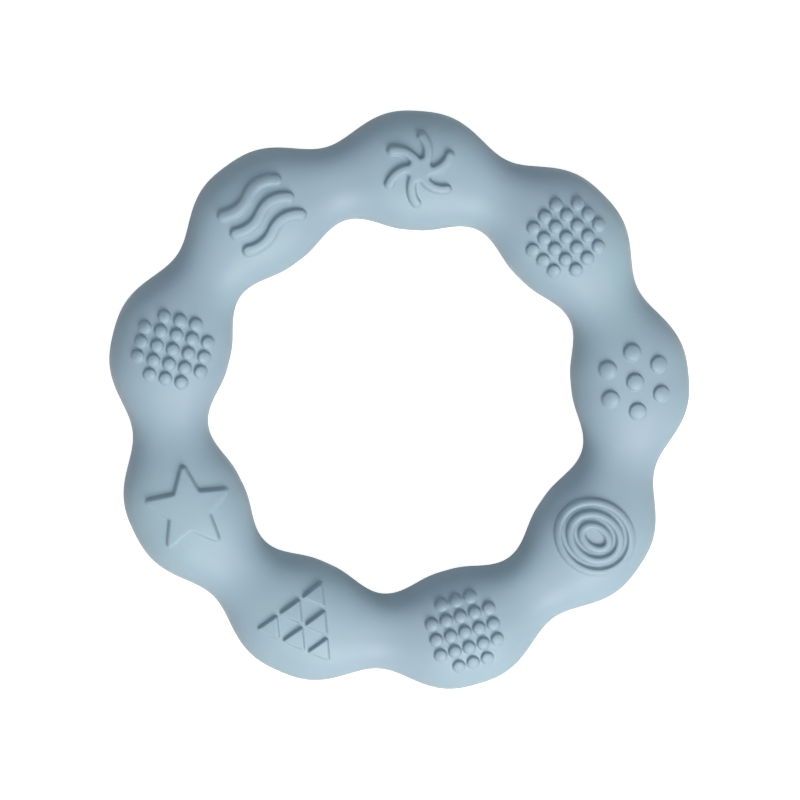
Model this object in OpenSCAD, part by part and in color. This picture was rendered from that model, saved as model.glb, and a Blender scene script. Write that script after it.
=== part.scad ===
// Teething ring: one soft moulded ring of nine lobes round a hand hole. Each lobe carries its own
// raised pattern on the front, and a small flat on the back for the ring to lie on.
// Frame: origin at the ring's centre on its mid plane, +Z out of the patterned face, and +Y through
// the pinwheel's lobe. The other patterns follow it clockwise, seen from the front.

/* [Ring] */
// Outer diameter, twice the distance from the centre to a lobe's crest
ring_d = 110; // [96:1:132]
// Width of the ring at a lobe, from the hole to the outside
lobe_w = 22.3; // [18:0.1:27]
// Depth of the notch between two lobes, on the outside
outer_notch = 5; // [3:0.1:6]
// Depth of the notch between two lobes, in the hole
inner_notch = 3.1; // [1.5:0.1:4]
// Thickness at the middle of a lobe, without its pattern
lobe_t = 17; // [13:0.5:21]
// Thickness at the neck between two lobes
neck_t = 13.4; // [10:0.2:16]
// Fullness of the ring's cross-section: 2 is an ellipse, and more is squarer
section_n = 2.4; // [2:0.1:4]
// Depth of the flat on the back of each lobe
rest_cut = 0.35; // [0.2:0.05:0.6]

/* [Raised patterns] */
// How far the patterns stand proud at the middle of a lobe
relief_h = 1.2; // [0.8:0.1:2]
// Radius of the gentle dome that the tops of all the patterns lie on
relief_crown_r = 30; // [26:1:80]

/* [Pinwheel] */
// Number of arms
arm_count = 6; // [5:1:6]
// Width of an arm
arm_w = 1.7; // [1.2:0.1:1.8]
// Radius that an arm's centre line bends to
arm_bend_r = 4.45; // [4:0.05:6]
// Distance from the hub's centre to the centre of an arm's round end
arm_reach = 6.2; // [5:0.1:7]
// Direction in which the first arm leaves the hub
arm_start = 45; // [0:1:60]
// Diameter of the hub
hub_d = 4.2; // [3.6:0.1:5]
// How far the pinwheel sits outwards from the middle of the lobe
pinwheel_out = 0.2; // [-1:0.05:1]

/* [Waves] */
// Number of waves
wave_count = 3; // [2:1:3]
// Width of a wave's ridge
wave_w = 2; // [1.5:0.1:2.5]
// Gap between one wave and the next
wave_gap = 1.95; // [1:0.05:2.4]
// Distance along the ring from a wave's dip to its crest
wave_run = 5.8; // [5:0.1:7]
// Height from a wave's dip to its crest
wave_rise = 1.65; // [1:0.05:2.2]
// Distance from the dip to the centre of the ridge's end
dip_reach = 2.6; // [2:0.1:3]
// Distance from the crest to the centre of the ridge's other end
crest_reach = 3.4; // [2.5:0.1:4]
// How far the waves sit outwards from the middle of the lobe
wave_out = 0.5; // [-1:0.1:1]
// How far the waves sit clockwise from the middle of the lobe
wave_along = -0.4; // [-1:0.1:1]

/* [Dot grids] */
// Diameter of a dot
dot_d = 2.4; // [1.8:0.1:3]
// Gap between neighbouring dots along the ring
dot_gap_along = 0.36; // [0.2:0.02:0.6]
// Gap between neighbouring dots across the ring
dot_gap_across = 0.6; // [0.2:0.02:0.8]
// How far a dot's top is domed
dot_dome = 0.5; // [0.2:0.05:1]

/* [Seven dots] */
// Diameter of a large dot
big_dot_d = 3.3; // [2.5:0.1:4.5]
// Gap between the middle dot and each of the six round it
big_dot_gap = 2.25; // [0.5:0.05:2.5]
// How far a large dot's top is domed
big_dot_dome = 0.6; // [0.2:0.05:1.2]

/* [Oval rings] */
// Width of each oval ridge
oval_wall = 1.4; // [0.8:0.05:1.6]
// Gap between one oval ridge and the next
oval_gap = 0.8; // [0.6:0.05:1.2]
// How far the oval ridges stand up, at most as far as the other patterns
oval_h = 1; // [0.6:0.05:1.2]
// Half the width of the smallest oval, to its outside
oval_core = 2.65; // [2:0.05:3]
// How much longer than wide each oval is, from its centre to one end
oval_stretch = 0.8; // [0:0.05:1.2]
// How far the ovals sit outwards from the middle of the lobe
oval_out = -0.15; // [-1:0.05:1]

/* [Triangles] */
// Side of a triangle, before its corners are rounded
triangle_side = 4.8; // [3.5:0.1:5.8]
// Gap between the corners of two triangles in a row, before they are rounded
triangle_gap = 0.35; // [0.1:0.05:0.8]
// Distance of the outer row's middle from the middle of the lobe
triangle_row = 3.55; // [3:0.05:4.5]
// Rounding of a triangle's corners
triangle_round = 0.35; // [0.1:0.05:0.6]

/* [Star] */
// Distance from the star's centre to a point, before it is rounded
star_tip_r = 9.1; // [7:0.1:9.5]
// Distance from the star's centre to a notch
star_notch_r = 4.1; // [3:0.1:5]
// Rounding of the points
star_tip_round = 0.65; // [0.2:0.05:0.9]
// Rounding in the notches
star_notch_round = 0.4; // [0.1:0.05:0.9]
// How far the star sits outwards from the middle of the lobe
star_out = -0.15; // [-1:0.05:1]

/* [Hidden] */
silicone = "#9db3c3";
lobe_count = 9;
lobe_angle = 360 / lobe_count;
crest_r = ring_d / 2;
lobe_mid_r = crest_r - lobe_w / 2;
hole_r = crest_r - lobe_w;
// How narrow the notches are: 1 is a plain cosine, and more leaves broader lobes
outer_sharpness = 1.6;
inner_sharpness = 1.3;
neck_sharpness = 1.5;
// Facets of the ring: steps along one lobe, and points round the section
steps_per_lobe = 18;
section_points = 30;
step = lobe_angle / steps_per_lobe;
cap_steps = 7;
corner_steps = 4;
arc_step = 12;
// Share of a wave's bending that its dip takes, where a half would make dip and crest alike
dip_share = 0.55;
// Height that every pattern rises from, inside the ring, before the ring's own shape is cut away
root_z = 1;
top_z = lobe_t / 2 + relief_h;

// Share of the way into a notch, from 0 at a lobe's crest to 1 at a neck
function notch(phi, sharpness) = pow((1 - cos(lobe_count * phi)) / 2, sharpness);
function outer_r(phi) = crest_r - outer_notch * notch(phi, outer_sharpness);
function inner_r(phi) = hole_r + inner_notch * notch(phi, inner_sharpness);
function half_t(phi) = lobe_t / 2 - (lobe_t - neck_t) / 2 * notch(phi, neck_sharpness);

// A power that keeps the sign, which turns a circle's cosine and sine into a fuller oval's
function oval(x) = sign(x) * pow(abs(x), 2 / section_n);

// The point of the ring's skin at angle phi round the ring and angle a round its section
function skin(phi, a) =
    let (mid = (outer_r(phi) + inner_r(phi)) / 2,
         half_w = (outer_r(phi) - inner_r(phi)) / 2,
         r = mid + half_w * oval(cos(a)))
    [-r * sin(phi), r * cos(phi), half_t(phi) * oval(sin(a))];

// Height of the dome that the patterns' tops lie on, at a distance from the middle of the lobe
function crown_z(distance) = top_z - relief_crown_r + sqrt(pow(relief_crown_r, 2) - pow(distance, 2));

// A direction, as a vector of length 1
function unit(v) = v / norm(v);

// The arc that rounds the corner at p between its neighbours a and b
function corner(a, p, b, radius) =
    let (u = unit(a - p),
         v = unit(b - p),
         half = acos(u * v) / 2,
         centre = p + unit(u + v) * radius / sin(half),
         from = p + u * radius / tan(half) - centre,
         to = p + v * radius / tan(half) - centre,
         start = atan2(from[1], from[0]),
         turn = (atan2(to[1], to[0]) - start + 540) % 360 - 180)
    [for (i = [0 : corner_steps]) centre + radius * [cos(start + turn * i / corner_steps),
                                                     sin(start + turn * i / corner_steps)]];

// A closed outline with each corner rounded by its own radius
function rounded(points, radii) =
    let (n = len(points))
    [for (i = [0 : n - 1]) each corner(points[(i + n - 1) % n], points[i], points[(i + 1) % n], radii[i])];

// Points of an arc about a centre, from one angle to another
function arc(centre, radius, from, to) =
    let (n = max(2, ceil(abs(to - from) / arc_step)))
    [for (i = [0 : n])
        let (a = from + (to - from) * i / n)
        centre + radius * [cos(a), sin(a)]];

// Points round an upright ellipse
function ellipse(half_x, half_y) =
    [for (a = [0 : arc_step : 360 - arc_step]) [half_x * cos(a), half_y * sin(a)]];

// A list of points without its first and last, where they repeat the ends of the lists beside it
function inner_points(points) = [for (i = [1 : len(points) - 2]) points[i]];

// A point turned about the origin
function turned(p, a) = [p[0] * cos(a) - p[1] * sin(a), p[0] * sin(a) + p[1] * cos(a)];

// Direction, seen from the centre of an arm's bend, in which an edge of that radius meets the hub
function meets_hub(edge_r, hub_r) =
    acos((pow(edge_r, 2) + pow(arm_bend_r, 2) - pow(hub_r, 2)) / (2 * edge_r * arm_bend_r)) - 90;

// Skin swept over a list of angles round the ring, with the given angles round its section
module sweep(phis, angles, closed) {
    n = len(phis);
    m = len(angles);
    last = closed ? n - 1 : n - 2;
    sides = [for (i = [0 : last]) for (j = [0 : m - 1])
        let (a = i * m + j,
             b = i * m + (j + 1) % m,
             c = ((i + 1) % n) * m + (j + 1) % m,
             d = ((i + 1) % n) * m + j)
        each [[a, b, c], [a, c, d]]];
    ends = closed ? [] : [[for (j = [m - 1 : -1 : 0]) j], [for (j = [0 : m - 1]) (n - 1) * m + j]];
    polyhedron([for (phi = phis) for (a = angles) skin(phi, a)], concat(sides, ends), convexity = 6);
}

// The front half of one lobe, with the same facets as the ring, so that a pattern sits on it exactly
module lobe_front() {
    sweep([for (i = [-cap_steps : cap_steps]) (i + 0.5) * step],
          [for (j = [0 : section_points / 2]) j * 360 / section_points], closed = false);
}

// Places a pattern on a lobe, counted clockwise from the top one. The pattern is drawn as it looks
// on the top lobe: x runs clockwise along the ring, and y runs outwards from the middle of the lobe.
module on_lobe(index) {
    color(silicone)
        rotate([0, 0, -index * lobe_angle])
            difference() {
                translate([0, lobe_mid_r, 0])
                    children();
                lobe_front();
            }
}

// A flat drawing raised to the dome that the patterns' tops lie on, or a little lower
module raised(lower = 0) {
    translate([0, 0, -lower])
        intersection() {
            translate([0, 0, root_z])
                linear_extrude(top_z - root_z)
                    children();
            translate([0, 0, top_z - relief_crown_r])
                sphere(relief_crown_r, $fn = 240);
        }
}

// A round dot whose domed top touches the same dome
module dot(x, y, d, dome) {
    ball_r = (pow(d / 2, 2) + pow(dome, 2)) / (2 * dome);
    apex = crown_z(norm([x, y]));
    translate([x, y, 0])
        intersection() {
            translate([0, 0, root_z])
                cylinder(h = apex - root_z, d = d, $fn = 48);
            union() {
                translate([0, 0, apex - ball_r])
                    sphere(ball_r, $fn = 48);
                cylinder(h = apex - dome, d = 2 * d, $fn = 48);
            }
        }
}

module ring_body() {
    color(silicone)
        difference() {
            sweep([for (i = [0 : lobe_count * steps_per_lobe - 1]) (i + 0.5) * step],
                  [for (j = [0 : section_points - 1]) j * 360 / section_points], closed = true);
            translate([-ring_d, -ring_d, rest_cut - lobe_t / 2 - lobe_t])
                cube([2 * ring_d, 2 * ring_d, lobe_t]);
        }
}

// One arm curls round its bend: out along one edge, round the end, and back along the other edge to
// the hub, whose own edge then runs on to the next arm. All the arms make a single outline.
module pinwheel() {
    hub_r = hub_d / 2;
    pitch = 360 / arm_count;
    bend = [0, arm_bend_r];
    turn = 2 * asin(arm_reach / (2 * arm_bend_r)) - 90;
    outside = arm_bend_r + arm_w / 2;
    inside = arm_bend_r - arm_w / 2;
    outside_root = meets_hub(outside, hub_r);
    inside_root = meets_hub(inside, hub_r);
    root_in = bend + inside * [cos(inside_root), sin(inside_root)];
    root_out = bend + outside * [cos(outside_root), sin(outside_root)];
    arm = concat(arc(bend, outside, outside_root, turn),
                 inner_points(arc(bend + arm_bend_r * [cos(turn), sin(turn)], arm_w / 2, turn, turn + 180)),
                 arc(bend, inside, turn, inside_root),
                 inner_points(arc([0, 0], hub_r, atan2(root_in[1], root_in[0]),
                                  atan2(root_out[1], root_out[0]) + pitch)));
    polygon([for (i = [0 : arm_count - 1]) for (p = arm) turned(p, arm_start + i * pitch)]);
}

module pinwheel_relief() {
    on_lobe(0)
        raised()
            translate([0, pinwheel_out])
                pinwheel();
}

// The dip and the crest of a wave are two arcs that meet without a kink, with a round end on each
module wave() {
    radii_sum = (pow(wave_run, 2) + pow(wave_rise, 2)) / (2 * wave_rise);
    dip_r = dip_share * radii_sum;
    crest_bend_r = radii_sum - dip_r;
    lean = asin(wave_run / radii_sum);
    half = wave_w / 2;
    dip_c = [-wave_run / 2, dip_r - wave_rise / 2];
    crest_c = [wave_run / 2, wave_rise / 2 - crest_bend_r];
    dip_from = -90 - asin(dip_reach / dip_r);
    crest_to = 90 - asin(crest_reach / crest_bend_r);
    dip_tip = dip_c + dip_r * [cos(dip_from), sin(dip_from)];
    crest_tip = crest_c + crest_bend_r * [cos(crest_to), sin(crest_to)];
    polygon(concat(arc(dip_c, dip_r + half, dip_from, lean - 90),
                   inner_points(arc(crest_c, crest_bend_r - half, 90 + lean, crest_to)),
                   arc(crest_tip, half, crest_to - 180, crest_to),
                   inner_points(arc(crest_c, crest_bend_r + half, crest_to, 90 + lean)),
                   arc(dip_c, dip_r - half, lean - 90, dip_from),
                   inner_points(arc(dip_tip, half, dip_from + 180, dip_from + 360))));
}

module wave_relief() {
    on_lobe(8)
        raised()
            for (i = [0 : wave_count - 1])
                translate([wave_along, wave_out + (i - (wave_count - 1) / 2) * (wave_w + wave_gap)])
                    wave();
}

// Five rows of five dots, less the four at the corners
module dot_grid_relief(index) {
    on_lobe(index)
        for (i = [-2 : 2])
            for (j = [-2 : 2])
                if (abs(i) + abs(j) < 4)
                    dot(i * (dot_d + dot_gap_along), j * (dot_d + dot_gap_across), dot_d, dot_dome);
}

module seven_dot_relief() {
    reach = big_dot_d + big_dot_gap;
    on_lobe(2) {
        dot(0, 0, big_dot_d, big_dot_dome);
        for (a = [0 : 60 : 300])
            dot(reach * cos(a), reach * sin(a), big_dot_d, big_dot_dome);
    }
}

module oval_ring_relief() {
    on_lobe(3)
        raised(relief_h - oval_h)
            for (i = [0 : 2]) {
                outside = oval_core + i * (oval_wall + oval_gap);
                inside = outside - oval_wall;
                translate([0, oval_out])
                    difference() {
                        polygon(ellipse(outside, outside + oval_stretch));
                        polygon(ellipse(inside, inside + oval_stretch));
                    }
            }
}

// Rows of three, two and one, the last nearest the hole, each triangle pointing to the ring's centre
module triangle_relief() {
    pitch = triangle_side + triangle_gap;
    tip = triangle_side / sqrt(3);
    outline = [for (i = [0 : 2]) tip * [cos(120 * i - 90), sin(120 * i - 90)]];
    on_lobe(5)
        raised()
            for (row = [0 : 2])
                for (i = [0 : 2 - row])
                    translate([(i - (2 - row) / 2) * pitch, triangle_row - row * pitch * sin(60)])
                        polygon(rounded(outline, [for (c = [0 : 2]) triangle_round]));
}

module star_relief() {
    outline = [for (i = [0 : 9])
        (i % 2 == 0 ? star_tip_r : star_notch_r) * [cos(36 * i - 90), sin(36 * i - 90)]];
    on_lobe(6)
        raised()
            translate([0, star_out])
                polygon(rounded(outline, [for (i = [0 : 9]) i % 2 == 0 ? star_tip_round : star_notch_round]));
}

ring_body();
pinwheel_relief();
dot_grid_relief(1);  // dot_grid_relief_1
seven_dot_relief();
oval_ring_relief();
dot_grid_relief(4);  // dot_grid_relief_2
triangle_relief();
star_relief();
dot_grid_relief(7);  // dot_grid_relief_3
wave_relief();
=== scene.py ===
import math

import bpy
import numpy as np
from mathutils import Matrix, Vector


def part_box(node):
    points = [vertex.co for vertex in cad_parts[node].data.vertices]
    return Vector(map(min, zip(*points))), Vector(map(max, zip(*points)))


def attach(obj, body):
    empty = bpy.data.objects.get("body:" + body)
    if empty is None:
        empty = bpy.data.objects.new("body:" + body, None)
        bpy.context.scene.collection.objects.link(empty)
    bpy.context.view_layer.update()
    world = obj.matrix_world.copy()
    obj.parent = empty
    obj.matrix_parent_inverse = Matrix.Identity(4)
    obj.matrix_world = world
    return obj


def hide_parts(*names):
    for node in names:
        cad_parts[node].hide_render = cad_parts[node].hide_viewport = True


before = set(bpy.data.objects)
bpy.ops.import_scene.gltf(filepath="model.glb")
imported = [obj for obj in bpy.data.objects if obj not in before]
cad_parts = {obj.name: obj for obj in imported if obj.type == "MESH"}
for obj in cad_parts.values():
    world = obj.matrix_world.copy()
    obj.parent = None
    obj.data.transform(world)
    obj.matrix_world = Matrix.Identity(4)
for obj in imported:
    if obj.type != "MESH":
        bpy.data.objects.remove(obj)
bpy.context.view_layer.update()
mm = 0.001  # shapes are worked out in millimetres, and turned to metres when a mesh is made


def hexColour(code):
    channels = [int(code[i:i + 2], 16) / 255 for i in (1, 3, 5)]
    linear = [c / 12.92 if c <= 0.04045 else ((c + 0.055) / 1.055) ** 2.4 for c in channels]
    return (*linear, 1.0)


def perMetre(size):
    # the scale of a pattern whose cells measure this many millimetres
    return 1 / (size * mm)


def newMaterial(name):
    material = bpy.data.materials.new(name)
    material.use_nodes = True
    material.node_tree.nodes.clear()
    return material, material.node_tree


def addNode(tree, kind, settings=None, links=None):
    # settings name properties of the node or its inputs, and links name inputs
    node = tree.nodes.new(kind)
    for key, value in (settings or {}).items():
        if isinstance(key, str) and hasattr(node, key):
            setattr(node, key, value)
        else:
            node.inputs[key].default_value = value
    for key, source in (links or {}).items():
        tree.links.new(source, node.inputs[key])
    return node


def makePiece(name, points, faces, material):
    mesh = bpy.data.meshes.new(name)
    mesh.from_pydata((np.asarray(points) * mm).tolist(), [], faces)
    mesh.validate()
    mesh.shade_smooth()
    mesh.materials.append(material)
    piece = bpy.data.objects.new(name, mesh)
    bpy.context.scene.collection.objects.link(piece)
    return piece


def bridge(firstA, firstB, count):
    # quads between two closed rows of points that run the same way round
    ahead = [(k + 1) % count for k in range(count)]
    return [(firstA + k, firstA + ahead[k], firstB + ahead[k], firstB + k) for k in range(count)]


# silicone, moulded in a steel mould with a fine blasted grain: a soft powdery matt, a broad pale
# sheen where the skin turns to the light, and no sharp highlight anywhere
silicone = {
    "colour": "#98B0BB",
    "patchColour": "#97ABBA",  # the pigment is a touch denser in wide cloudy patches
    "patchSize": 14.0,
    "patchFrom": 0.35,  # how much of the cloud's range the change between the two colours takes up
    "patchTo": 0.65,
    "dustColour": "#D5DDE2",
    "dustCell": 7.0,  # one speck at most in a cell of this size
    "dustSize": 0.09,
    "dustShare": 0.16,  # share of the cells that hold one
    "grainSize": 0.16,  # the blasted mould's grain, drawn twice as coarse as it is so that it shows
    "grainDepth": 0.006,
    "ior": 1.41,
    "roughness": 0.5,
    "sheen": 0.14,  # the powdery bloom that pales the edges
    "sheenRoughness": 0.45,
    "sheenColour": "#FFF0E2",
    "scatterWeight": 0.12,  # a little light goes in, which softens the small shadows
    "scatterDepth": 0.5,
    "scatterRadius": (0.8, 0.95, 1.0),
}


def mouldedSilicone():
    material, tree = newMaterial("mouldedSilicone")
    place = {"Vector": addNode(tree, "ShaderNodeTexCoord").outputs["Object"]}

    cloud = addNode(tree, "ShaderNodeTexNoise", {
        "Scale": perMetre(silicone["patchSize"]), "Detail": 3.0,
    }, place)
    patches = addNode(tree, "ShaderNodeMapRange", {
        "From Min": silicone["patchFrom"], "From Max": silicone["patchTo"],
    }, {"Value": cloud.outputs["Fac"]})
    pigment = addNode(tree, "ShaderNodeMix", {
        "data_type": "RGBA", 6: hexColour(silicone["colour"]), 7: hexColour(silicone["patchColour"]),
    }, {0: patches.outputs["Result"]})

    # dust: silicone draws it, so a few pale specks lie on the skin
    cells = addNode(tree, "ShaderNodeTexVoronoi", {"Scale": perMetre(silicone["dustCell"])}, place)
    speck = addNode(tree, "ShaderNodeMath", {
        "operation": "LESS_THAN", 1: silicone["dustSize"] / silicone["dustCell"],
    }, {0: cells.outputs["Distance"]})
    draw = addNode(tree, "ShaderNodeSeparateColor", links={"Color": cells.outputs["Color"]})
    chosen = addNode(tree, "ShaderNodeMath", {
        "operation": "LESS_THAN", 1: silicone["dustShare"],
    }, {0: draw.outputs["Red"]})
    dust = addNode(tree, "ShaderNodeMath", {
        "operation": "MULTIPLY",
    }, {0: speck.outputs[0], 1: chosen.outputs[0]})
    dusted = addNode(tree, "ShaderNodeMix", {
        "data_type": "RGBA", 7: hexColour(silicone["dustColour"]),
    }, {0: dust.outputs[0], 6: pigment.outputs[2]})

    grain = addNode(tree, "ShaderNodeTexNoise", {
        "Scale": perMetre(silicone["grainSize"]), "Detail": 2.0,
    }, place)
    relief = addNode(tree, "ShaderNodeBump", {
        "Distance": silicone["grainDepth"] * mm, "Strength": 1.0,
    }, {"Height": grain.outputs["Fac"]})

    skin = addNode(tree, "ShaderNodeBsdfPrincipled", {
        "Roughness": silicone["roughness"],
        "IOR": silicone["ior"],
        "Subsurface Weight": silicone["scatterWeight"],
        "Subsurface Scale": silicone["scatterDepth"] * mm,
        "Subsurface Radius": silicone["scatterRadius"],
        "Sheen Weight": silicone["sheen"],
        "Sheen Roughness": silicone["sheenRoughness"],
        "Sheen Tint": hexColour(silicone["sheenColour"]),
    }, {"Base Color": dusted.outputs[2], "Normal": relief.outputs["Normal"]})
    addNode(tree, "ShaderNodeOutputMaterial", links={"Surface": skin.outputs["BSDF"]})
    return material


siliconeSkin = mouldedSilicone()
print("silicone made")

# ring body: nine lobes round the hand hole, the first of them pointing along +Y
cadLow, cadHigh = (np.array(corner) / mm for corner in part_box("ring_body"))
ring = {
    "lobes": 9,
    "radius": 55.0,  # over the lobes
    "crestInside": 0.03,  # how far the seam's line stays inside the CAD body
    "lobeWidth": 22.3,
    "outerNotch": 5.0,
    "innerNotch": 3.1,
    "outerSharpness": 1.6,  # more than 1 leaves broad lobes and narrow notches
    "innerSharpness": 1.3,
    "lobeThickness": 17.0,
    "neckThickness": 13.4,
    "neckSharpness": 1.5,
    "squareness": 2.4,  # of the section: 2 is an ellipse
    "restHeight": float(cadLow[2]),  # the plane of the nine flats on the back
    "restBlend": 0.12,
    "seamHeight": 0.06,  # the fine line where the halves of the mould met
    "seamHalfWidth": 0.09,
    "seamRows": (0, 0.3, 0.6, 1.0, 1.6, 2.8, 4.4),  # heights of the rows of points there, in half widths
    "stepsPerLobe": 64,
    "firstGap": 0.25,  # between the last of those rows and the next
    "quarterRows": 38,  # rows of points over the rest of a quarter of the section
}
lobeMiddle = ring["radius"] - ring["lobeWidth"] / 2


def notch(phi, sharpness):
    # 0 at a lobe's crest, 1 at a neck
    return ((1 - np.cos(ring["lobes"] * phi)) / 2) ** sharpness


def ringAt(phi):
    # the section's middle, half width and half thickness, without the seam
    crest = float(cadHigh[1]) - ring["crestInside"] - ring["seamHeight"]
    outer = crest - ring["outerNotch"] * notch(phi, ring["outerSharpness"])
    hole = ring["radius"] - ring["lobeWidth"] + ring["seamHeight"]
    inner = hole + ring["innerNotch"] * notch(phi, ring["innerSharpness"])
    thinning = (ring["lobeThickness"] - ring["neckThickness"]) / 2 * notch(phi, ring["neckSharpness"])
    return (outer + inner) / 2, (outer - inner) / 2, ring["lobeThickness"] / 2 - thinning


def squared(x):
    # turns a circle's sine or cosine into the section's
    return np.sign(x) * np.abs(x) ** (2 / ring["squareness"])


def sectionAngles():
    # close together at the seam, then evenly spaced along the skin of a section about as wide as a lobe
    halfWidth, halfThickness, samples = 11.0, ring["lobeThickness"] / 2, 4001
    fine = np.radians(np.linspace(0, 90, samples))
    across, up = halfWidth * squared(np.cos(fine)), halfThickness * squared(np.sin(fine))
    run = np.concatenate([[0], np.cumsum(np.hypot(np.diff(across), np.diff(up)))])
    seam = np.array(ring["seamRows"]) * ring["seamHalfWidth"]
    atSeam = np.arcsin((seam / halfThickness) ** (ring["squareness"] / 2))
    even = np.interp(np.linspace(seam[-1] + ring["firstGap"], run[-1], ring["quarterRows"]), run, fine)
    quarter = np.concatenate([atSeam, even])
    half = np.concatenate([quarter, np.pi - quarter[-2::-1]])
    return np.concatenate([half, -half[-2:0:-1]])


def buildRingBody():
    rows = ring["lobes"] * ring["stepsPerLobe"]
    angles = sectionAngles()
    phi, a = np.meshgrid(np.arange(rows) * 2 * math.pi / rows, angles, indexing="ij")
    middle, halfWidth, halfThickness = ringAt(phi)
    height = halfThickness * squared(np.sin(a))
    seam = ring["seamHeight"] * np.clip(1 - (height / ring["seamHalfWidth"]) ** 2, 0, 1)
    away = middle + halfWidth * squared(np.cos(a)) + np.sign(np.cos(a)) * seam
    # the back is pressed flat at the rest plane, with a soft edge
    over = height - ring["restHeight"]
    height = ring["restHeight"] + (over + np.sqrt(over ** 2 + ring["restBlend"] ** 2)) / 2
    points = np.stack([-away * np.sin(phi), away * np.cos(phi), height], -1).reshape(-1, 3)
    count = len(angles)
    faces = [face for i in range(rows) for face in bridge((i + 1) % rows * count, i * count, count)]
    body = makePiece("ringBody", points, faces, siliconeSkin)
    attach(body, "root")
    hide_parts("ring_body")


buildRingBody()
print("ring body made")

# raised patterns: each is drawn as it looks on the top lobe, x along the ring and y outwards from the
# middle of the lobe, then turned clockwise to its own lobe. No pattern sits quite in the middle of
# its lobe, so each has a nudge (along, out)
pattern = {
    "height": float(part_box("pinwheel_relief")[1][2]) / mm - ring["lobeThickness"] / 2,  # mid-lobe
    "rimDrop": 0.15,  # the tops lie nearly parallel to the skin, this much lower at the rim radius
    "rimRadius": 8.0,
    "root": 1.5,  # how far the pieces reach into the body
    "footSink": 0.01,  # the foot starts a hair inside the skin
    "footReach": 0.05,
    "footSteps": 5,
    "shoulderSteps": 8,
    "capSteps": 5,
    "ridgeGap": 0.02,  # left open along the middle of a ridge, so that no two points coincide
    "flatRows": (0.85, 0.68, 0.5, 0.33, 0.17),  # rows of points on a flat top, as shares of its size
    "cornerSteps": 8,
    "leastRadius": 0.05,  # of a rounded corner
}


def skinHeight(x, y):
    away, phi = np.hypot(x, lobeMiddle + y), np.arctan2(x, lobeMiddle + y)
    middle, halfWidth, halfThickness = ringAt(phi)
    share = np.clip(np.abs(away - middle) / halfWidth, 0, 0.9999)
    return halfThickness * (1 - share ** ring["squareness"]) ** (1 / ring["squareness"])


def crownHeight(x, y):
    reach = (x ** 2 + y ** 2) / pattern["rimRadius"] ** 2
    return skinHeight(x, y) + pattern["height"] - pattern["rimDrop"] * reach


def flankSteps(shape, half=None):
    # (offset outwards, rise, from the crown) of each row of points: a small fillet at the foot, a steep
    # flank and a round shoulder. Rises count from the skin or from the crown. The outline as drawn runs
    # halfway up the flank. With half, the width to the middle, a shallow cap closes the top
    slope, crown = math.radians(shape["slope"]), math.radians(shape.get("crown", 0))
    foot, shoulder = shape["foot"], shape["shoulder"]
    shoulderWide = shoulder * (math.sin(slope) - math.sin(crown))
    shoulderHigh = shoulder * (math.cos(crown) - math.cos(slope))
    height = shape.get("height", pattern["height"])
    sunk = pattern["height"] - height
    high = height - foot * (1 - math.cos(slope)) - shoulderHigh
    steep, capSteep = math.tan(slope), math.tan(crown / 2)
    flank = (high - capSteep * (half - shoulderWide)) / (steep - capSteep / 2) if half else high / steep
    capWide = half - flank / 2 - shoulderWide if half else 0
    capHigh = capWide * capSteep
    footEdge = flank / 2 + foot * math.sin(slope)
    steps = [(-flank / 2, -pattern["root"], False)]
    steps.append((footEdge + pattern["footReach"], -pattern["footSink"], False))
    for k in range(pattern["footSteps"] + 1):
        t = slope * k / pattern["footSteps"]
        steps.append((footEdge - foot * math.sin(t), foot * (1 - math.cos(t)), False))
    for k in range(pattern["shoulderSteps"] + 1):
        t = slope + (crown - slope) * k / pattern["shoulderSteps"]
        drop = sunk + capHigh + shoulder * (math.cos(crown) - math.cos(t))
        steps.append((-flank / 2 - shoulder * (math.sin(slope) - math.sin(t)), -drop, True))
    if half:
        for k in range(1, pattern["capSteps"] + 1):
            t = crown * (1 - k / pattern["capSteps"])
            out, drop = math.sin(t) / math.sin(crown), (1 - math.cos(t)) / (1 - math.cos(crown))
            steps.append((-half + max(capWide * out, pattern["ridgeGap"]), -sunk - capHigh * drop, True))
    return steps


def rowOfPoints(outline, rise, fromCrown):
    x, y = outline[:, 0], outline[:, 1]
    z = (crownHeight(x, y) if fromCrown else skinHeight(x, y)) + rise
    return np.column_stack([x, y, z])


def raiseOutline(outlineAt, steps, centre=None, topRows=()):
    # a closed shell from a family of outlines: outlineAt(offset) always has the same number of points.
    # With a centre, the top closes on it, by way of smaller copies of its own edge
    rows = [rowOfPoints(outlineAt(offset), rise, fromCrown) for offset, rise, fromCrown in steps]
    topOffset, topRise, _ = steps[-1]
    if centre is not None:
        edge = outlineAt(topOffset)
        rows += [rowOfPoints(centre + (edge - centre) * share, topRise, True) for share in topRows]
    count = len(rows[0])
    last = (len(rows) - 1) * count
    points = np.concatenate(rows)
    faces = [face for k in range(len(rows) - 1) for face in bridge(k * count, (k + 1) * count, count)]
    faces.append(tuple(range(count - 1, -1, -1)))
    if centre is None:
        faces.append(tuple(range(last, last + count)))
    else:
        points = np.vstack([points, rowOfPoints(np.array([centre]), topRise, True)])
        faces += [(last + k, last + (k + 1) % count, len(points) - 1) for k in range(count)]
    return points, faces


def joinShells(shells):
    points, faces, first = [], [], 0
    for shellPoints, shellFaces in shells:
        points.append(shellPoints)
        faces += [tuple(k + first for k in face) for face in shellFaces]
        first += len(shellPoints)
    return np.concatenate(points), faces


def putOnLobe(name, node, lobe, nudge, shells):
    points, faces = joinShells(shells)
    turn = -lobe * 2 * math.pi / ring["lobes"]
    x, y = points[:, 0] + nudge[0], points[:, 1] + nudge[1] + lobeMiddle
    turnedX = x * math.cos(turn) - y * math.sin(turn)
    turnedY = x * math.sin(turn) + y * math.cos(turn)
    piece = makePiece(name, np.column_stack([turnedX, turnedY, points[:, 2]]), faces, siliconeSkin)
    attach(piece, "root")
    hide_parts(node)
    print(name, "made")


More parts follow.
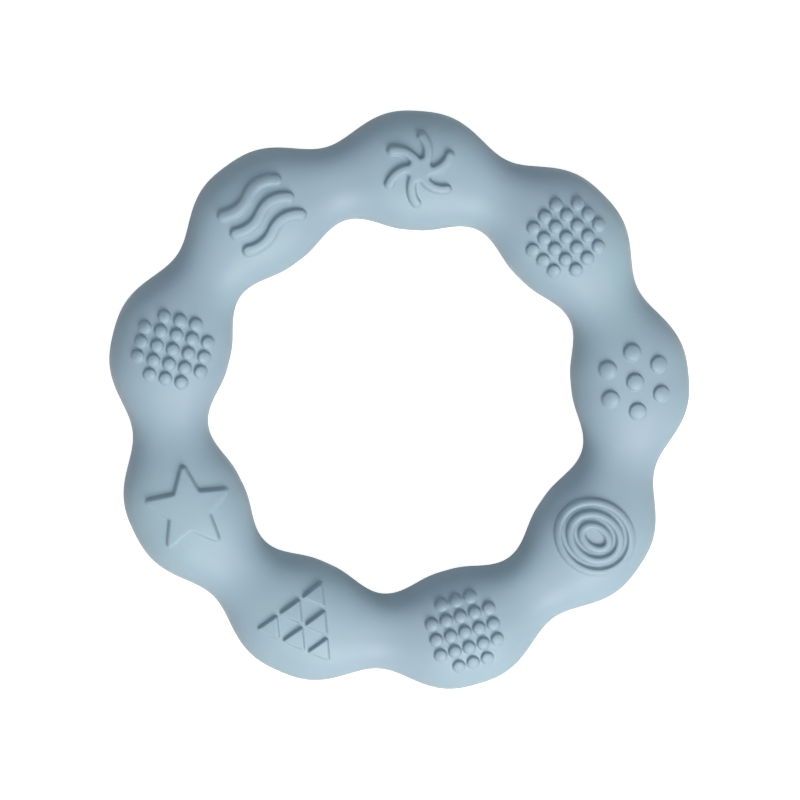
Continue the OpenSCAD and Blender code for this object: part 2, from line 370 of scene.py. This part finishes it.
def towards(angle):
    return np.array([math.cos(angle), math.sin(angle)])


def angleOf(v):
    return math.atan2(v[1], v[0])


def arcPoints(centre, radius, start, end, count):
    t = np.linspace(start, end, count)
    return np.asarray(centre) + radius * np.column_stack([np.cos(t), np.sin(t)])


def circlePoints(count):
    # once round, of radius 1
    return arcPoints((0, 0), 1.0, 0, 2 * math.pi, count + 1)[:-1]


# pinwheel: six arms that curl out of a small hub
pinwheel = {
    "lobe": 0, "nudge": (0.05, 0.2),
    "arms": 6, "armWidth": 1.68, "bendRadius": 4.45,
    "reach": 6.2,  # from the middle to the middle of an arm's round tip
    "start": 45, "rootFillet": 0.5,
    "slope": 70, "foot": 0.12, "shoulder": 0.38, "crown": 18,
    "outerPoints": 44, "tipPoints": 26, "innerPoints": 34, "filletPoints": 16,
}


def crossing(centreA, radiusA, centreB, radiusB, side):
    # one of the two points where two circles cross
    apart = centreB - centreA
    d = np.linalg.norm(apart)
    along = (d * d + radiusA ** 2 - radiusB ** 2) / (2 * d)
    across = side * math.sqrt(radiusA ** 2 - along ** 2)
    return centreA + (apart * along + np.array([-apart[1], apart[0]]) * across) / d


def pinwheelOutline(offset):
    # the arms alone make the outline: where two meet, a fillet joins the inside of one bend to the
    # outside of the next
    p = pinwheel
    bend, half, fillet = p["bendRadius"], p["armWidth"] / 2, p["rootFillet"]
    pitch = 2 * math.pi / p["arms"]
    tipAngle = 2 * math.asin(p["reach"] / (2 * bend)) - math.pi / 2
    spin = np.array([[math.cos(pitch), -math.sin(pitch)], [math.sin(pitch), math.cos(pitch)]])
    centre = np.array([0, bend])
    nextCentre = spin @ centre
    inside, outside = bend - half, bend + half
    corners = [crossing(centre, inside - fillet, nextCentre, outside + fillet, side) for side in (1, -1)]
    corner = min(corners, key=np.linalg.norm)  # the fillet's centre, near the hub
    cornerBefore = spin.T @ corner
    outerRoot, innerRoot = angleOf(cornerBefore - centre), angleOf(corner - centre)
    sweep = (angleOf(nextCentre - corner) - innerRoot + math.pi) % (2 * math.pi) - math.pi
    tip = centre + bend * towards(tipAngle)
    arm = np.vstack([
        arcPoints(centre, outside + offset, outerRoot, tipAngle, p["outerPoints"]),
        arcPoints(tip, half + offset, tipAngle, tipAngle + math.pi, p["tipPoints"])[1:-1],
        arcPoints(centre, inside - offset, tipAngle, innerRoot, p["innerPoints"]),
        arcPoints(corner, fillet - offset, innerRoot, innerRoot + sweep, p["filletPoints"])[1:-1],
    ])
    turned = []
    for i in range(p["arms"]):
        t = math.radians(p["start"]) + i * pitch
        turned.append(arm @ np.array([[math.cos(t), math.sin(t)], [-math.sin(t), math.cos(t)]]))
    return np.vstack(turned)


def buildPinwheel():
    shell = raiseOutline(pinwheelOutline, flankSteps(pinwheel, pinwheel["armWidth"] / 2))
    putOnLobe("pinwheelRelief", "pinwheel_relief", pinwheel["lobe"], pinwheel["nudge"], [shell])


buildPinwheel()

# small dots, five by five without the corners, and large ones, six round one
smallDot = {
    "lobes": (1, 4, 7), "nudges": ((0, 0), (0, -0.15), (0.08, -0.18)),
    "radius": 1.19, "pitchAlong": 2.76, "pitchAcross": 3.0,
    "slope": 70, "foot": 0.06, "shoulder": 0.4, "crown": 27, "points": 48,
}
largeDot = {
    "lobe": 2, "nudge": (-0.1, -0.05),
    "radius": 1.6, "reach": 5.55, "height": 1.1,
    "slope": 68, "foot": 0.1, "shoulder": 0.5, "crown": 22, "points": 48,
}


def dotShell(x, y, dot):
    centre, circle = np.array([x, y]), circlePoints(dot["points"])

    def outlineAt(offset):
        return centre + circle * (dot["radius"] + offset)

    return raiseOutline(outlineAt, flankSteps(dot, dot["radius"]), centre)


def buildDotGrids():
    across, along = smallDot["pitchAcross"], smallDot["pitchAlong"]
    grid = [(x, y) for x in range(-2, 3) for y in range(-2, 3) if abs(x) + abs(y) < 4]
    for k, (lobe, nudge) in enumerate(zip(smallDot["lobes"], smallDot["nudges"]), 1):
        shells = [dotShell(x * along, y * across, smallDot) for x, y in grid]
        putOnLobe("dotGridRelief%d" % k, "dot_grid_relief_%d" % k, lobe, nudge, shells)


def buildSevenDots():
    spots = [np.zeros(2)] + [largeDot["reach"] * towards(t) for t in np.radians(range(0, 360, 60))]
    shells = [dotShell(x, y, largeDot) for x, y in spots]
    putOnLobe("sevenDotRelief", "seven_dot_relief", largeDot["lobe"], largeDot["nudge"], shells)


buildDotGrids()
buildSevenDots()

# oval rings: three slim round-topped ridges, one inside the other
ovals = {
    "lobe": 3, "nudge": (-0.15, 0.25),
    "count": 3, "wall": 1.4, "gap": 0.8,
    "core": 2.65,  # outside radius of the innermost
    "stretch": 0.8, "out": -0.4, "height": 1.0,
    "slope": 68, "foot": 0.12, "shoulder": 0.35, "crown": 32, "points": 144,
}


def offsetLoop(points, offset):
    along = np.roll(points, -1, 0) - np.roll(points, 1, 0)
    outwards = np.column_stack([along[:, 1], -along[:, 0]]) / np.linalg.norm(along, axis=1)[:, None]
    return points + offset * outwards


def buildOvals():
    steps = flankSteps(ovals, ovals["wall"] / 2)
    count = ovals["points"]
    t = np.radians(np.arange(count) * 360 / count)
    shells = []
    for i in range(ovals["count"]):
        rows, faces = [], []
        outside = ovals["core"] + i * (ovals["wall"] + ovals["gap"])
        for r, side, order in ((outside, 1, steps), (outside - ovals["wall"], -1, steps[::-1])):
            loop = np.column_stack([r * np.cos(t), (r + ovals["stretch"]) * np.sin(t) + ovals["out"]])
            for offset, rise, fromCrown in order:
                rows.append(rowOfPoints(offsetLoop(loop, side * offset), rise, fromCrown))
        for k in range(len(rows)):
            faces += bridge(k * count, (k + 1) % len(rows) * count, count)
        shells.append((np.vstack(rows), faces))
    putOnLobe("ovalRingRelief", "oval_ring_relief", ovals["lobe"], ovals["nudge"], shells)


buildOvals()

# triangles and star: flat tops with slightly softened corners
triangles = {
    "lobe": 5, "nudge": (0.1, -0.27),
    "rows": 3, "side": 4.8, "gap": 0.35, "outerRow": 3.8, "corner": 0.35, "height": 1.1,
    "slope": 71, "foot": 0.08, "shoulder": 0.34, "edgeSteps": 18,
}
star = {
    "lobe": 6, "nudge": (0.2, -0.13),
    "points": 5, "tipRadius": 9.1, "notchRadius": 4.1, "tipRounding": 0.65, "notchRounding": 0.55,
    "slope": 68, "foot": 0.08, "shoulder": 0.5, "edgeSteps": 26,
}


def unit(v):
    return v / np.linalg.norm(v)


def roundedPolygon(corners, radii, offset, edgeSteps):
    # the polygon moved outwards by offset, with its corners rounded and its edges divided evenly
    n = len(corners)
    ahead = [unit(corners[(i + 1) % n] - corners[i]) for i in range(n)]
    normals = [np.array([a[1], -a[0]]) for a in ahead]
    moved = []
    for i in range(n):
        before, after = normals[i - 1], normals[i]
        moved.append(corners[i] + offset * (before + after) / (1 + before @ after))
    arcs = []
    for i in range(n):
        back, forth = unit(moved[i - 1] - moved[i]), unit(moved[(i + 1) % n] - moved[i])
        half = math.acos(np.clip(back @ forth, -1, 1)) / 2
        turnsOut = (ahead[i - 1][0] * ahead[i][1] - ahead[i - 1][1] * ahead[i][0]) > 0
        radius = max(radii[i] + (offset if turnsOut else -offset), pattern["leastRadius"])
        centre = moved[i] + unit(back + forth) * radius / math.sin(half)
        start = angleOf(moved[i] + back * radius / math.tan(half) - centre)
        end = angleOf(moved[i] + forth * radius / math.tan(half) - centre)
        turn = (end - start + 3 * math.pi) % (2 * math.pi) - math.pi
        arcs.append(arcPoints(centre, radius, start, start + turn, pattern["cornerSteps"] + 1))
    outline = []
    for i in range(n):
        here, there = arcs[i][-1], arcs[(i + 1) % n][0]
        outline.append(arcs[i])
        outline.append(here + (there - here) * np.linspace(0, 1, edgeSteps + 1)[1:-1, None])
    return np.vstack(outline)


def buildTriangles():
    pitch, tipRadius = triangles["side"] + triangles["gap"], triangles["side"] / math.sqrt(3)
    corners = [tipRadius * towards(t) for t in np.radians([-90, 30, 150])]
    radii = [triangles["corner"]] * 3
    steps = flankSteps(triangles)
    shells = []
    for row in range(triangles["rows"]):
        inRow = triangles["rows"] - row
        y = triangles["outerRow"] - row * pitch * math.sqrt(3) / 2
        for i in range(inRow):
            middle = np.array([(i - (inRow - 1) / 2) * pitch, y])

            def outlineAt(offset):
                return middle + roundedPolygon(corners, radii, offset, triangles["edgeSteps"])

            shells.append(raiseOutline(outlineAt, steps, middle, pattern["flatRows"]))
    putOnLobe("triangleRelief", "triangle_relief", triangles["lobe"], triangles["nudge"], shells)


def buildStar():
    reaches = [star["tipRadius"], star["notchRadius"]] * star["points"]
    radii = [star["tipRounding"], star["notchRounding"]] * star["points"]
    turns = np.radians(np.arange(2 * star["points"]) * 180 / star["points"] - 90)
    corners = [reach * towards(turn) for reach, turn in zip(reaches, turns)]

    def outlineAt(offset):
        return roundedPolygon(corners, radii, offset, star["edgeSteps"])

    shell = raiseOutline(outlineAt, flankSteps(star), np.zeros(2), pattern["flatRows"])
    putOnLobe("starRelief", "star_relief", star["lobe"], star["nudge"], [shell])


buildTriangles()
buildStar()

# waves: three ridges, each a dip that runs into a crest
waves = {
    "lobe": 8, "nudge": (-0.12, -0.05),
    "count": 3, "width": 2.0, "gap": 1.95, "out": 0.5, "along": -0.4,
    "run": 5.8, "rise": 1.65,  # from the bottom of the dip to the top of the crest
    "dipShare": 0.55,  # the dip's share of the two bend radii
    "dipReach": 2.6, "crestReach": 3.4,  # how far the ends run on past the bottom and the top
    "slope": 71, "foot": 0.12, "shoulder": 0.4, "crown": 18,
    "bendPoints": 36, "tipPoints": 24,
}


def waveOutline(offset):
    w = waves
    half = w["width"] / 2 + offset
    radii = (w["run"] ** 2 + w["rise"] ** 2) / (2 * w["rise"])
    dip, crest = w["dipShare"] * radii, (1 - w["dipShare"]) * radii
    lean = math.asin(w["run"] / radii)
    dipCentre = np.array([-w["run"] / 2, dip - w["rise"] / 2])
    crestCentre = np.array([w["run"] / 2, w["rise"] / 2 - crest])
    dipFrom = -math.pi / 2 - math.asin(w["dipReach"] / dip)
    crestTo = math.pi / 2 - math.asin(w["crestReach"] / crest)
    dipTip, crestTip = dipCentre + dip * towards(dipFrom), crestCentre + crest * towards(crestTo)
    bendPoints, tipPoints = w["bendPoints"], w["tipPoints"]
    return np.vstack([
        arcPoints(dipCentre, dip + half, dipFrom, lean - math.pi / 2, bendPoints),
        arcPoints(crestCentre, crest - half, math.pi / 2 + lean, crestTo, bendPoints)[1:],
        arcPoints(crestTip, half, crestTo - math.pi, crestTo, tipPoints)[1:-1],
        arcPoints(crestCentre, crest + half, crestTo, math.pi / 2 + lean, bendPoints),
        arcPoints(dipCentre, dip - half, lean - math.pi / 2, dipFrom, bendPoints)[1:],
        arcPoints(dipTip, half, dipFrom + math.pi, dipFrom + 2 * math.pi, tipPoints)[1:-1],
    ])


def buildWaves():
    steps = flankSteps(waves, waves["width"] / 2)
    shells = []
    for i in range(waves["count"]):
        across = (i - (waves["count"] - 1) / 2) * (waves["width"] + waves["gap"])
        place = np.array([waves["along"], waves["out"] + across])
        shells.append(raiseOutline(lambda offset: waveOutline(offset) + place, steps))
    putOnLobe("waveRelief", "wave_relief", waves["lobe"], waves["nudge"], shells)


buildWaves()

# stage: a pale back-lit sheet, a card on it that only throws light back at the ring, and a white dome
# for what lies beyond the sheet's edge
stage = {
    "radius": 1500.0,
    "sheetColour": "#9C9C9C",
    "sheetGlow": 0.95,  # lit from behind, which keeps the shadows on it faint
    "bounceColour": "#D8D8D8",
    "bounceLift": 0.005,
    "domeGlow": 1.2,
    "roughness": 0.9,
    "points": 96,
    "domeRows": 30,
    "domeTop": 89.5,  # degrees up, where the last row of points closes the dome
}


def matt(name, colour, glow=0.0):
    # acrylic, card or painted board with no gloss at all, which may glow white
    material, tree = newMaterial(name)
    shader = addNode(tree, "ShaderNodeBsdfPrincipled", {
        "Base Color": hexColour(colour), "Roughness": stage["roughness"], "Specular IOR Level": 0.0,
        "Emission Color": hexColour("#FFFFFF"), "Emission Strength": glow,
    })
    addNode(tree, "ShaderNodeOutputMaterial", links={"Surface": shader.outputs["BSDF"]})
    return material


def stagePoints(radius, height):
    circle = circlePoints(stage["points"])
    return np.column_stack([circle * radius, np.full(len(circle), height)])


def buildStage():
    radius, floor, count = stage["radius"], ring["restHeight"], stage["points"]
    disc = [tuple(range(count))]
    sheet = makePiece("sheet", stagePoints(radius, floor), disc,
                      matt("backLitAcrylic", stage["sheetColour"], stage["sheetGlow"]))
    sheet.visible_diffuse = sheet.visible_glossy = False
    bounce = makePiece("bounceSheet", stagePoints(radius, floor + stage["bounceLift"]), disc,
                       matt("whiteCard", stage["bounceColour"]))
    bounce.visible_camera = bounce.visible_shadow = False
    ups = np.radians(np.linspace(0, stage["domeTop"], stage["domeRows"] + 1))
    points = np.vstack([stagePoints(radius * math.cos(t), floor + radius * math.sin(t)) for t in ups])
    faces = [face for k in range(stage["domeRows"]) for face in bridge(k * count, (k + 1) * count, count)]
    faces.append(tuple(range(stage["domeRows"] * count, len(points))))
    dome = makePiece("dome", points, faces, matt("whiteDome", "#000000", stage["domeGlow"]))
    dome.visible_diffuse = dome.visible_glossy = dome.visible_transmission = dome.visible_shadow = False


# light: one broad warm white lamp from the side, a weaker one overhead, and an even bluish fill.
# Azimuth is the direction in the ring's plane that a lamp stands in, and distances are in metres
keyLamp = {
    "colour": "#FFFAF4", "power": 19.2, "size": 0.9,
    "elevation": 47, "azimuth": 294, "distance": 1.3,
}
overheadLamp = {
    "colour": "#F1FAFF", "power": 4.2, "size": 1.6,
    "elevation": 86, "azimuth": 138, "distance": 1.4,
}
evenFill = {"colour": "#DEF1FF", "strength": 0.28}


def placeLamp(name, settings):
    lamp = bpy.data.lights.new(name, "AREA")
    lamp.shape = "DISK"
    lamp.size = settings["size"]
    lamp.energy = settings["power"]
    lamp.color = hexColour(settings["colour"])[:3]
    holder = bpy.data.objects.new(name, lamp)
    e, a = math.radians(settings["elevation"]), math.radians(settings["azimuth"])
    away = Vector((math.cos(e) * math.cos(a), math.cos(e) * math.sin(a), math.sin(e)))
    holder.rotation_mode = "QUATERNION"
    holder.rotation_quaternion = away.to_track_quat("Z", "Y")
    holder.location = away * settings["distance"]
    holder.visible_camera = False
    bpy.context.scene.collection.objects.link(holder)


def fillRoom():
    world = bpy.data.worlds.new("evenFill")
    world.use_nodes = True
    world.node_tree.nodes.clear()
    light = addNode(world.node_tree, "ShaderNodeBackground",
                    {"Color": hexColour(evenFill["colour"]), "Strength": evenFill["strength"]})
    addNode(world.node_tree, "ShaderNodeOutputWorld", links={"Surface": light.outputs["Background"]})
    bpy.context.scene.world = world
    bpy.context.scene.view_settings.view_transform = "Standard"


buildStage()
placeLamp("keyLamp", keyLamp)
placeLamp("overheadLamp", overheadLamp)
fillRoom()
print("stage lit")

# camera: nearly straight above the ring, leaning a little. Tilt and azimuth say which way it leans,
# and upwards which direction in the ring's plane is up in the picture
camera = {"distance": 783, "tilt": 5.72, "azimuth": 138.5, "upwards": 94.28,
          "lens": 188.0, "sensor": 36, "shiftX": 0.0021, "shiftY": 0.0051, "clip": (50, 20000)}


def placeCamera():
    lens = bpy.data.cameras.new("camera")
    lens.sensor_width = camera["sensor"]
    lens.lens = camera["lens"]
    lens.shift_x, lens.shift_y = camera["shiftX"], camera["shiftY"]
    lens.clip_start, lens.clip_end = (limit * mm for limit in camera["clip"])
    holder = bpy.data.objects.new("camera", lens)
    t, a, u = (math.radians(camera[k]) for k in ("tilt", "azimuth", "upwards"))
    back = Vector((math.sin(t) * math.cos(a), math.sin(t) * math.sin(a), math.cos(t)))
    right = Vector((math.cos(u), math.sin(u), 0)).cross(back).normalized()
    turn = Matrix((right, back.cross(right), back)).transposed()
    holder.matrix_world = Matrix.Translation(back * camera["distance"] * mm) @ turn.to_4x4()
    bpy.context.scene.collection.objects.link(holder)
    bpy.context.scene.camera = holder


placeCamera()
print("camera placed")
